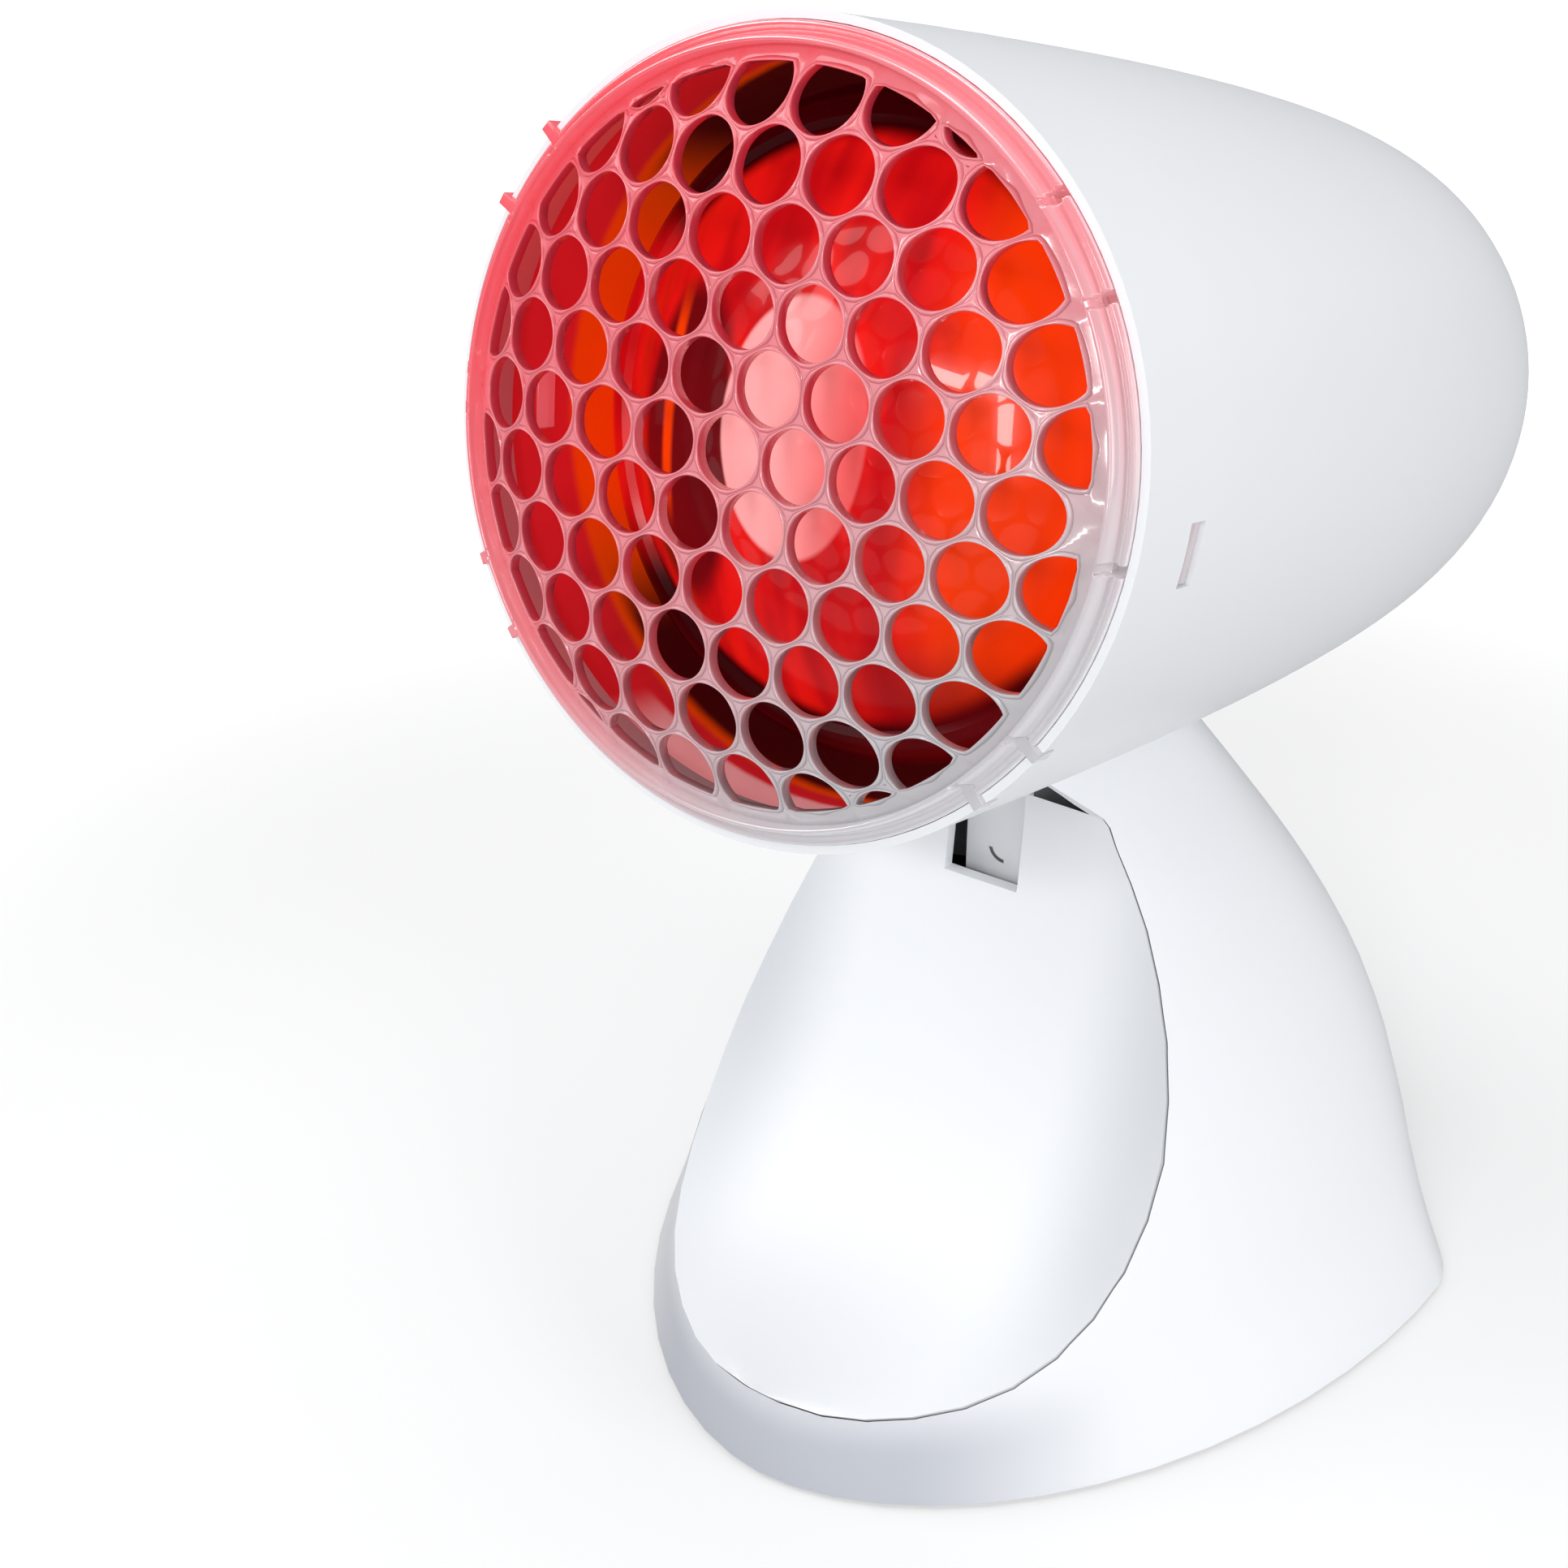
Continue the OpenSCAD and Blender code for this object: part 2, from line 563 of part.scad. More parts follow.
// ---- stand: base plate and feet ----
module base_plate() {
    color(black) difference() {
        translate([0, stand_y, plate_z]) linear_extrude(plate_t)
            polygon(stand_ring(plate_top, stand_wall + plate_gap, 60));
        translate([0, stand_y, 0]) {
            for (p = stand_bosses) translate([p.x, p.y, 0]) {
                cylinder(r = screw_r + fit_gap, h = 10);
                cylinder(r = screw_head_r + 0.3, h = plate_z + screw_head_h - 0.6);
            }
            for (p = foot_places) translate([p.x, p.y, 0]) cylinder(r = foot_r + seat_gap, h = plate_z + 0.8);
        }
        // room for the cable gland
        at_inlet() translate([0, 0, -gland_in - 1]) cylinder(r = inlet_r + gland_wall + 0.4, h = gland_in + 1);
        // cooling slots
        for (i = [-3:3]) translate([i * 7 - 1.2, stand_y - 14, 0]) cube([2.4, 26, 10]);
    }
}
module feet() {
    color(rubber) translate([0, stand_y, 0]) for (p = foot_places) translate([p.x, p.y, 0])
        rotate_extrude() polygon([[0, 0], [foot_r - 0.8, 0], [foot_r, 0.6], [foot_r, plate_z + 0.8], [0, plate_z + 0.8]]);
}
module base_screws() {
    color(steel) translate([0, stand_y, plate_z + screw_head_h - 0.6]) for (p = stand_bosses)
        translate([p.x, p.y, 0]) rotate([180, 0, 0]) pan_screw(10);
}

// ---- stand: tilt hinge ----
ball_drop = drum_r + fit_gap + ball_r;
socket_r = ball_r + fit_gap;
module hinge_yoke() {
    color(black) difference() {
        translate([0, pivot_y, 0]) {
            for (x = [-1, 1]) translate([x * (cheek_in + cheek_out) / 2, 0, pivot_h]) side_plate(yoke_t) {
                circle(r = cheek_r);
                translate([-cheek_r, yoke_z - pivot_h]) square([2 * cheek_r, pivot_h - yoke_z]);
            }
            translate([-yoke_screw_x - 4, -cheek_r - 1, yoke_z]) cube([2 * yoke_screw_x + 8, 2 * cheek_r + 2, flange_t]);
            translate([0, 0, yoke_z - 6]) cylinder(r = socket_r + 1.6, h = pivot_h - drum_r - 1.2 - yoke_z + 6);
        }
        translate([0, pivot_y, pivot_h]) side_plate(3 * cheek_out) circle(r = pin_r + fit_gap / 2);
        translate([0, pivot_y, yoke_z - 4.5]) cylinder(r = socket_r, h = pivot_h);
        for (x = [-yoke_screw_x, yoke_screw_x])
            translate([x, pivot_y, yoke_z - 1]) cylinder(r = screw_r + fit_gap, h = flange_t + 2);
    }
}
module yoke_screws() {
    color(steel) for (x = [-yoke_screw_x, yoke_screw_x])
        translate([x, pivot_y, yoke_z]) rotate([180, 0, 0]) pan_screw(flange_t + 6);
}
groove_x = cheek_out + 0.2;
clip_t = 0.8;
module hinge_pin() {
    color(steel) translate([0, pivot_y, pivot_h]) rotate([0, 90, 0]) rotate_extrude() polygon([
        [0, -cheek_out - pin_head_h], [pin_r + 1.5, -cheek_out - pin_head_h], [pin_r + 1.5, -cheek_out - fit_gap],
        [pin_r, -cheek_out - fit_gap], [pin_r, groove_x], [pin_r - 0.6, groove_x],
        [pin_r - 0.6, groove_x + clip_t + 0.1], [pin_r, groove_x + clip_t + 0.1],
        [pin_r, groove_x + clip_t + 1.2], [0, groove_x + clip_t + 1.2]]);
}
module pin_clip() {
    color(steel) translate([groove_x + 0.05, pivot_y, pivot_h]) rotate([0, 90, 0]) linear_extrude(clip_t)
        difference() {
            circle(r = pin_r + 1.6);
            circle(r = pin_r - 0.6 + fit_gap);
            translate([-pin_r - 3, -1.2]) square([pin_r + 3, 2.4]);
        }
}
module thrust_washers() {
    color(brass) for (x = [-1, 1]) translate([x * (arm_w / 2 + seat_gap + washer_t / 2), pivot_y, pivot_h])
        side_plate(washer_t) difference() {
            circle(r = cheek_r - 0.6);
            circle(r = pin_r + fit_gap);
        }
}
module detent_ball() {
    color(steel) translate([0, pivot_y, pivot_h - ball_drop]) sphere(r = ball_r);
}
module detent_spring() {
    wire = 0.22;
    coil = socket_r - 0.35;
    low = yoke_z - 4.5 + wire;
    high = pivot_h - ball_drop - ball_r - wire;
    turns = 5;
    steps = 14 * turns;
    color(steel) translate([0, pivot_y, 0]) loft([for (i = [0:steps]) let (
        a = i * 360 * turns / steps, z = low + (high - low) * i / steps)
        [for (j = [0:5]) let (r = coil + wire * cos(-j * 60)) [r * cos(a), r * sin(a), z + wire * sin(-j * 60)]]]);
}

// ---- stand: wiring and switch ----
module cable_gland() {
    color(black) at_inlet() rotate_extrude() polygon([
        [inlet_r, -gland_in], [inlet_r + gland_wall, -gland_in], [inlet_r + gland_wall, fit_gap - inlet_seat],
        [inlet_r + gland_flange, fit_gap - inlet_seat], [inlet_r + gland_flange - 0.3, gland_out - 0.2],
        [inlet_r + 0.8, gland_out + 0.4], [inlet_r, gland_out]]);
}
block_w = 24;
block_l = 12;
block_h = 10;
block_y = 24;
module terminal_block() {
    color(ceramic) translate([0, stand_y + block_y, plate_top]) difference() {
        translate([-block_w / 2, -block_l / 2, 0]) cube([block_w, block_l, block_h]);
        for (x = [-7, 0, 7]) {
            translate([x, -block_l, block_h / 2 - 1]) rotate([-90, 0, 0]) cylinder(r = 1.8, h = 2 * block_l);
            for (y = [-3, 3]) translate([x, y, block_h / 2]) cylinder(r = 1.6, h = block_h);
        }
    }
}
module terminal_screws() {
    color(brass) translate([0, stand_y + block_y, plate_top + block_h / 2 + 0.2]) for (x = [-7, 0, 7], y = [-3, 3])
        translate([x, y, 0]) cylinder(r = 1.5, h = block_h / 2 - 1);
}
rocker_angle = 8;
rocker_drop = 3;
module switch_frame() {
    color(black) at_switch() difference() {
        union() {
            translate([-bezel_w / 2, -bezel_l / 2, -bezel_seat]) cube([bezel_w, bezel_l, bezel_t]);
            translate([-frame_w / 2, -frame_l / 2, -frame_depth]) cube([frame_w, frame_l, frame_depth]);
        }
        side_plate(rocker_w + 0.4) circle(r = rocker_l / 2 + 0.15);
        side_plate(rocker_w + 2.2) circle(r = 1.05);
    }
}
module switch_rocker() {
    color(black) at_switch() rotate([rocker_angle, 0, 0]) {
        side_plate(rocker_w) intersection() {
            circle(r = rocker_l / 2);
            polygon([[-rocker_l, -rocker_drop], [rocker_l, -rocker_drop],
                [rocker_l, bezel_t - bezel_seat + rocker_l * tan(rocker_angle)], [0, bezel_t - bezel_seat],
                [-rocker_l, bezel_t - bezel_seat + rocker_l * tan(rocker_angle)]]);
        }
        side_plate(rocker_w + 2) circle(r = 1);
    }
}
module switch_terminals() {
    color(brass) at_switch() for (y = [-4.5, 4.5])
        translate([-2.4, y - 0.4, -frame_depth - 7]) cube([4.8, 0.8, 7]);
}

head_housing();
grille();
bulb_glass();
bulb_cap();
bulb_contact();
filament();
holder_body();
holder_shell();
holder_contact();
holder_bracket();
holder_screws();
tilt_arm();
arm_screws();
stand_shell();
front_panel();
base_plate();
feet();
base_screws();
hinge_yoke();
yoke_screws();
hinge_pin();
pin_clip();
thrust_washers();
detent_ball();
detent_spring();
cable_gland();
terminal_block();
terminal_screws();
switch_frame();
switch_rocker();
switch_terminals();
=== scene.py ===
import json
import math
import bpy
import numpy as np
from mathutils import Matrix, Vector


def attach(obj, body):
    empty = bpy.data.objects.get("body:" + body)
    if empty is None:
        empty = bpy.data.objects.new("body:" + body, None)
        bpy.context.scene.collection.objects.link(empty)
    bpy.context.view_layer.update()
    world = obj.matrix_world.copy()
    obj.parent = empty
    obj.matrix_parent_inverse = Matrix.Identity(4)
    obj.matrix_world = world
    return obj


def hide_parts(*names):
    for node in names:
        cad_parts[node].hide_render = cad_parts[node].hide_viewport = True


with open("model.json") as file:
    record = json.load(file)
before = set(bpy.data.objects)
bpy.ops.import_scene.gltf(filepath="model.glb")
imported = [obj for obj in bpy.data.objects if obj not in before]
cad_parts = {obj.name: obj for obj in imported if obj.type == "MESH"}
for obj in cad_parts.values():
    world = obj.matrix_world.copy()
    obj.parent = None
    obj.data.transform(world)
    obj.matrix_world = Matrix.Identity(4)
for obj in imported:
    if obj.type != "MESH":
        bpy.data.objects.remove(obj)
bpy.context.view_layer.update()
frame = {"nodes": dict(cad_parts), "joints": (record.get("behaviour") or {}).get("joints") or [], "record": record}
mm = 0.001
print("frame loaded")

# the head's own axes at rest: x to the right, y up in the rim's plane, z forward out of the grille
tiltJoint = next(j for j in frame["joints"] if j["name"] == "head_tilt")
head = {"tilt": 11.2, "rimAhead": 76 * mm, "rimHeight": 147 * mm, "rimRadius": 46 * mm}
headTilt = math.radians(head["tilt"])
rimCentre = np.array([0, tiltJoint["pos_m"][1] - head["rimAhead"], head["rimHeight"]])
headRight = np.array([1, 0, 0])
headUp = np.array([0, math.sin(headTilt), math.cos(headTilt)])
headForward = np.array([0, -math.cos(headTilt), math.sin(headTilt)])


# head coordinates to the lamp's: the rim's centre plus x right, y up and z forward
def intoHead(x, y, z):
    return rimCentre + x[..., None] * headRight + y[..., None] * headUp + z[..., None] * headForward


# corner numbers of the quads of a rows by columns grid, whose last column joins the first
def gridQuads(rows, columns):
    r, c = np.meshgrid(np.arange(rows - 1), np.arange(columns), indexing="ij")
    n = (c + 1) % columns
    upper = (r + 1) * columns
    return np.stack([r * columns + c, r * columns + n, upper + n, upper + c], -1).reshape(-1, 4)


# a smooth-shaded mesh from points and quads, which rides on a body
def newPiece(name, points, quads, material, body):
    mesh = bpy.data.meshes.new(name)
    points = np.asarray(points, dtype=np.float32).reshape(-1, 3)
    mesh.vertices.add(len(points))
    mesh.vertices.foreach_set("co", points.ravel())
    mesh.loops.add(quads.size)
    mesh.loops.foreach_set("vertex_index", quads.astype(np.int32).ravel())
    mesh.polygons.add(len(quads))
    mesh.polygons.foreach_set("loop_start", np.arange(0, quads.size, 4, dtype=np.int32))
    mesh.polygons.foreach_set("use_smooth", np.ones(len(quads), dtype=bool))
    mesh.update(calc_edges=True)
    mesh.validate()
    piece = bpy.data.objects.new(name, mesh)
    bpy.context.scene.collection.objects.link(piece)
    mesh.materials.append(material)
    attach(piece, body)
    return piece


# materials: small helpers that add nodes
def newMaterial(name):
    material = bpy.data.materials.new(name)
    material.use_nodes = True
    return material, material.node_tree, shaderOf(material)


def shaderOf(material):
    return next(n for n in material.node_tree.nodes if n.type == "BSDF_PRINCIPLED")


def setSockets(shader, values):
    for socket, value in values.items():
        shader.inputs[socket].default_value = value


def addNode(tree, kind, inputs=None, **settings):
    node = tree.nodes.new(kind)
    for key, value in settings.items():
        setattr(node, key, value)
    for key, value in (inputs or {}).items():
        if isinstance(value, bpy.types.NodeSocket):
            tree.links.new(value, node.inputs[key])
        else:
            node.inputs[key].default_value = value
    return node


def mathNode(tree, operation, first, second=0.0, third=0.0):
    return addNode(tree, "ShaderNodeMath", {0: first, 1: second, 2: third}, operation=operation).outputs[0]


# the value mapped smoothly from start..end to low..high, and held outside
def smoothBand(tree, value, start, end, low=0.0, high=1.0):
    node = addNode(tree, "ShaderNodeMapRange", {"Value": value, "From Min": start, "From Max": end,
                   "To Min": low, "To Max": high}, interpolation_type="SMOOTHSTEP")
    return node.outputs["Result"]


# the same from one down to zero
def fade(tree, value, start, end):
    return smoothBand(tree, value, start, end, 1.0, 0.0)


def mixColour(tree, factor, first, second):
    node = tree.nodes.new("ShaderNodeMix")
    node.data_type = "RGBA"
    for socket, value in ((node.inputs[0], factor), (node.inputs[6], first), (node.inputs[7], second)):
        if isinstance(value, bpy.types.NodeSocket):
            tree.links.new(value, socket)
        else:
            socket.default_value = value
    return node.outputs[2]


def times(tree, *values):
    result = values[0]
    for value in values[1:]:
        result = mathNode(tree, "MULTIPLY", result, value)
    return result


def absolute(tree, value):
    return mathNode(tree, "ABSOLUTE", value)


# the root of x squared plus y squared
def distance(tree, x, y):
    return mathNode(tree, "SQRT", mathNode(tree, "ADD", times(tree, x, x), times(tree, y, y)))


# one between low and high, with soft ends
def between(tree, value, low, high, soft):
    return times(tree, smoothBand(tree, value, low - soft, low + soft),
                 fade(tree, value, high - soft, high + soft))


# one inside the ellipse whose middle and half lengths are given in millimetres
def ellipse(tree, x, y, place, soft):
    dx = mathNode(tree, "MULTIPLY_ADD", x, 1000 / place[2], -place[0] / place[2])
    dy = mathNode(tree, "MULTIPLY_ADD", y, 1000 / place[3], -place[1] / place[3])
    far = mathNode(tree, "ADD", times(tree, dx, dx), times(tree, dy, dy))
    return fade(tree, far, 1 - soft, 1 + soft)


def objectPlace(tree):
    return tree.nodes.new("ShaderNodeTexCoord").outputs["Object"]


# object coordinates turned into the head's own axes, with the rim's centre as the origin
def headPlace(tree):
    mapping = addNode(tree, "ShaderNodeMapping", {"Vector": objectPlace(tree), "Location": tuple(rimCentre),
                      "Rotation": (math.radians(90) - headTilt, 0, 0)}, vector_type="TEXTURE")
    return addNode(tree, "ShaderNodeSeparateXYZ", {0: mapping.outputs[0]}).outputs


def makeGroup(name, inputs, outputs):
    group = bpy.data.node_groups.new(name, "ShaderNodeTree")
    for label, value in inputs.items():
        socket = group.interface.new_socket(label, in_out="INPUT", socket_type="NodeSocketFloat")
        socket.default_value = value
    for label, kind in outputs.items():
        group.interface.new_socket(label, in_out="OUTPUT", socket_type=kind)
    return group, group.nodes.new("NodeGroupInput"), group.nodes.new("NodeGroupOutput")


# moulded plastic: a fine spark texture plus slow flow marks, as a height and a shift of roughness
def mouldGrain():
    group, into, out = makeGroup("mouldGrain", {"Scale": 2500.0, "Flow": 30.0},
                                 {"Height": "NodeSocketFloat", "Shift": "NodeSocketFloat"})
    place = objectPlace(group)
    fine = addNode(group, "ShaderNodeTexNoise",
                   {"Vector": place, "Scale": into.outputs["Scale"], "Detail": 3.0})
    slow = addNode(group, "ShaderNodeTexNoise",
                   {"Vector": place, "Scale": into.outputs["Flow"], "Detail": 2.0})
    group.links.new(fine.outputs["Fac"], out.inputs["Height"])
    group.links.new(mathNode(group, "SUBTRACT", slow.outputs["Fac"], 0.5), out.inputs["Shift"])
    return group


grainGroup = mouldGrain()
grainDepth = 0.05 * mm


# roughness and bump of a moulded face
def addGrain(tree, shader, look):
    grain = tree.nodes.new("ShaderNodeGroup")
    grain.node_tree = grainGroup
    grain.inputs["Scale"].default_value = look["grain"]
    rough = mathNode(tree, "MULTIPLY_ADD", grain.outputs["Shift"], look["uneven"], look["roughness"])
    tree.links.new(rough, shader.inputs["Roughness"])
    bump = addNode(tree, "ShaderNodeBump", {"Height": grain.outputs["Height"], "Strength": look["bump"],
                   "Distance": grainDepth})
    tree.links.new(bump.outputs[0], shader.inputs["Normal"])


def plastic(name, look):
    material, tree, shader = newMaterial(name)
    setSockets(shader, {"Base Color": look["colour"], "Specular IOR Level": look.get("gloss", 0.5)})
    addGrain(tree, shader, look)
    return material


def metal(name, look):
    material, tree, shader = newMaterial(name)
    setSockets(shader, {"Metallic": 1.0})
    wear = addNode(tree, "ShaderNodeTexNoise",
                   {"Vector": objectPlace(tree), "Scale": look["scale"], "Detail": 4.0})
    colour = mixColour(tree, wear.outputs["Fac"], look["dark"], look["light"])
    tree.links.new(colour, shader.inputs["Base Color"])
    rough = mathNode(tree, "MULTIPLY_ADD", wear.outputs["Fac"], look["uneven"], look["roughness"])
    tree.links.new(rough, shader.inputs["Roughness"])
    return material


# colours in linear light, ellipses in millimetres, the other pairs in metres as start and end of a blend
bulbLook = {
    "red": (0.72, 0.008, 0.006, 1), "deep": (0.48, 0.003, 0.006, 1), "orange": (0.85, 0.05, 0.0, 1),
    "maroon": (0.12, 0.002, 0.004, 1), "dark": (0.03, 0.0, 0.001, 1), "pale": (0.9, 0.36, 0.36, 1),
    "rose": (0.72, 0.09, 0.09, 1), "glow": 0.34, "gloss": 0.12, "roughness": 0.12, "uneven": 0.1,
    "coat": 0.32, "coatEnds": (0.0305, 0.0335), "coatRoughness": 0.02,
    "streakScale": 130.0, "streakStretch": 0.25, "streakEnds": (0.38, 0.62),
    "warmEnds": (0.010, 0.02), "warmShare": 0.75,
    "darkSide": (-19.0, -4.0, 9.0, 19.0), "darkSideEdge": 0.25,
    "line": (-0.0235, -0.0215, 0.0006), "lineEnds": (0.008, 0.016),
    "rimEnds": (0.0325, 0.035), "rimSideEnds": (0.014, 0.024),
    "lowEnds": (-0.03, -0.018), "lowSideEnds": (-0.006, 0.02), "lowShare": 0.7,
    "disc": (-1.8, 1.0, 10.2, 15.0), "discEdge": 0.06, "roseEnds": (-0.006, 0.008)}


# red glass over a mirrored bowl, with the bowl's reflections and shade painted into the colour, which also glows:
# a pale disc in the middle, dark and orange bands round it
def rubyGlassPaintedReflections(name, look):
    material, tree, shader = newMaterial(name)
    setSockets(shader, {"Coat Roughness": look["coatRoughness"], "Specular IOR Level": look["gloss"],
                        "Emission Strength": look["glow"]})
    x, y, z = headPlace(tree)
    radius = distance(tree, x, y)
    tree.links.new(smoothBand(tree, radius, *look["coatEnds"], look["coat"], 0.0), shader.inputs["Coat Weight"])
    flattened = mathNode(tree, "MULTIPLY", y, look["streakStretch"])
    stretched = addNode(tree, "ShaderNodeCombineXYZ", {0: x, 1: flattened, 2: 0.0})
    streak = addNode(tree, "ShaderNodeTexNoise",
                     {"Vector": stretched.outputs[0], "Scale": look["streakScale"], "Detail": 2.0})
    streaks = smoothBand(tree, streak.outputs["Fac"], *look["streakEnds"])
    colour = mixColour(tree, streaks, look["red"], look["deep"])
    # painted reflections and shade of the bowl: an orange right side, a maroon patch on the left, an orange line,
    # a dark rim above and below, a maroon lower right part and a pale disc
    warm = times(tree, smoothBand(tree, x, *look["warmEnds"]), look["warmShare"])
    colour = mixColour(tree, warm, colour, look["orange"])
    side = ellipse(tree, x, y, look["darkSide"], look["darkSideEdge"])
    colour = mixColour(tree, side, colour, look["maroon"])
    line = times(tree, between(tree, x, *look["line"]), fade(tree, absolute(tree, y), *look["lineEnds"]))
    colour = mixColour(tree, line, colour, look["orange"])
    aside = smoothBand(tree, absolute(tree, y), *look["rimSideEnds"])
    edge = times(tree, smoothBand(tree, radius, *look["rimEnds"]), aside)
    colour = mixColour(tree, edge, colour, look["dark"])
    low = times(tree, fade(tree, y, *look["lowEnds"]), smoothBand(tree, x, *look["lowSideEnds"]))
    colour = mixColour(tree, times(tree, low, look["lowShare"]), colour, look["maroon"])
    disc = mixColour(tree, smoothBand(tree, x, *look["roseEnds"]), look["pale"], look["rose"])
    colour = mixColour(tree, ellipse(tree, x, y, look["disc"], look["discEdge"]), colour, disc)
    tree.links.new(colour, shader.inputs["Base Color"])
    # the painted pattern also glows
    tree.links.new(colour, shader.inputs["Emission Color"])
    rough = mathNode(tree, "MULTIPLY_ADD", streak.outputs["Fac"], look["uneven"], look["roughness"])
    tree.links.new(rough, shader.inputs["Roughness"])
    return material


whiteLook = {"colour": (0.80, 0.815, 0.84, 1), "roughness": 0.36, "uneven": 0.1, "grain": 2600.0, "bump": 0.1}
# the inner wall's painted red light, shade and sheen, with pairs in metres as start and end of a blend, z being
# negative behind the rim
insideLook = {
    "red": (0.6, 0.012, 0.02, 1), "orange": (0.8, 0.06, 0.0, 1), "dark": (0.06, 0.001, 0.002, 1),
    "silverSheen": (0.75, 0.35, 0.36, 1), "glow": 0.3, "wall": (0.0441, 0.0444), "back": (-0.06, -0.055),
    "steepEnds": (0.022, 0.032), "orangeEnds": (-0.0185, -0.0165), "darkEnds": (-0.021, -0.018),
    "silverEnds": (-0.04, -0.036), "silverDepth": (-0.015, -0.0135)}


# white moulding whose inner face has the bulb's red light painted on, glowing: painted orange light beside it,
# painted shade above and below, and a paler painted sheen low at the front
def housingPlasticPaintedRedLight(name, look, inside):
    material = plastic(name, look)
    tree = material.node_tree
    shader = shaderOf(material)
    x, y, z = headPlace(tree)
    radius = distance(tree, x, y)
    within = times(tree, fade(tree, radius, *inside["wall"]), smoothBand(tree, z, *inside["back"]))
    steep = smoothBand(tree, absolute(tree, y), *inside["steepEnds"])
    colour = mixColour(tree, fade(tree, z, *inside["orangeEnds"]), inside["red"], inside["orange"])
    deep = times(tree, steep, fade(tree, z, *inside["darkEnds"]))
    colour = mixColour(tree, deep, colour, inside["dark"])
    silverSheen = times(tree, fade(tree, y, *inside["silverEnds"]), smoothBand(tree, z, *inside["silverDepth"]))
    colour = mixColour(tree, silverSheen, colour, inside["silverSheen"])
    full = mixColour(tree, within, look["colour"], colour)
    tree.links.new(full, shader.inputs["Base Color"])
    # the painted red light glows as well
    tree.links.new(colour, shader.inputs["Emission Color"])
    tree.links.new(times(tree, within, inside["glow"]), shader.inputs["Emission Strength"])
    return material


# reach runs from the lower right of the head to its upper left, in metres; the pink and deep red are the bulb's
# light painted on, the line colours painted shade
clearLook = {
    "clear": 0.3, "ior": 1.49, "coat": 0.5, "coatRoughness": 0.06, "glow": 0.24,
    "up": 0.8, "side": 0.75, "reach": (-0.045, 0.005), "reachDeep": (0.0, 0.05),
    "grain": 2200.0, "uneven": 0.1, "roughness": 0.2, "bump": 0.2,
    "lineCool": (0.2, 0.18, 0.19, 1), "lineWarm": (0.4, 0.025, 0.05, 1),
    "cool": (0.5, 0.49, 0.51, 1), "pink": (0.72, 0.24, 0.27, 1), "deep": (0.78, 0.11, 0.14, 1)}


# clear plastic with a frosted face, on which the red light from behind is painted, most towards the upper left,
# and glows; painted shade darkens the hole walls and lip grooves
def frostedClearPaintedRedLight(name, look):
    material, tree, shader = newMaterial(name)
    setSockets(shader, {"Transmission Weight": look["clear"], "IOR": look["ior"], "Coat Weight": look["coat"],
                        "Coat Roughness": look["coatRoughness"], "Emission Strength": look["glow"]})
    x, y, z = headPlace(tree)
    reach = mathNode(tree, "SUBTRACT", times(tree, y, look["up"]), times(tree, x, look["side"]))
    share = smoothBand(tree, reach, *look["reach"])
    colour = mixColour(tree, share, look["cool"], look["pink"])
    colour = mixColour(tree, smoothBand(tree, reach, *look["reachDeep"]), colour, look["deep"])
    line = mixColour(tree, share, look["lineCool"], look["lineWarm"])
    edge = addNode(tree, "ShaderNodeAttribute", attribute_name="edge").outputs["Fac"]
    colour = mixColour(tree, edge, colour, line)
    tree.links.new(colour, shader.inputs["Base Color"])
    tree.links.new(colour, shader.inputs["Emission Color"])
    addGrain(tree, shader, look)
    return material


# white moulding with painted shade in its hollows, where the mask is one
def shadedPlastic(name, look, mask):
    material = plastic(name, look)
    tree = material.node_tree
    x, y, z = addNode(tree, "ShaderNodeSeparateXYZ", {0: objectPlace(tree)}).outputs
    colour = mixColour(tree, mask(tree, look, x, y, z), look["colour"], look["shade"])
    tree.links.new(colour, shaderOf(material).inputs["Base Color"])
    return material


# pairs in metres as start and end of a blend; each shade colour is painted shade
panelLook = {**whiteLook, "shade": (0.6, 0.62, 0.65, 1), "beside": (0.016, 0.034), "rise": (0.018, 0.09, 0.012)}
toeLook = {**whiteLook, "shade": (0.5, 0.52, 0.57, 1), "beside": (0.018, 0.045), "below": (0.008, 0.02),
           "ahead": (-0.055, -0.04)}
armLook = {**whiteLook, "shade": (0.1, 0.1, 0.11, 1), "slotAt": (0.0009, 0.0734), "slotRadius": 0.0022,
           "slotHalf": 0.00028, "slotEdge": 0.00006, "slotSide": (0.0, 0.0001), "slotTop": (-0.0005, -0.0004),
           "ahead": (-0.014, -0.012)}


# painted shade at the panel's edges, where it sinks towards the stand
def panelPaintedShade(tree, look, x, y, z):
    return times(tree, smoothBand(tree, absolute(tree, x), *look["beside"]), between(tree, z, *look["rise"]))


# painted shade on the stand's front below the panel
def toePaintedShade(tree, look, x, y, z):
    return times(tree, fade(tree, absolute(tree, x), *look["beside"]), fade(tree, z, *look["below"]),
                 fade(tree, y, *look["ahead"]))


# a painted dark arc standing for the shade in a short curved slot in the arm's front face: a quarter of a thin
# ring
def armSlotPaintedShade(tree, look, x, y, z):
    dx = mathNode(tree, "SUBTRACT", x, look["slotAt"][0])
    dz = mathNode(tree, "SUBTRACT", z, look["slotAt"][1])
    near = look["slotRadius"] - look["slotHalf"]
    far = look["slotRadius"] + look["slotHalf"]
    ringShare = between(tree, distance(tree, dx, dz), near, far, look["slotEdge"])
    return times(tree, ringShare, fade(tree, dx, *look["slotSide"]), fade(tree, dz, *look["slotTop"]),
                 fade(tree, y, *look["ahead"]))


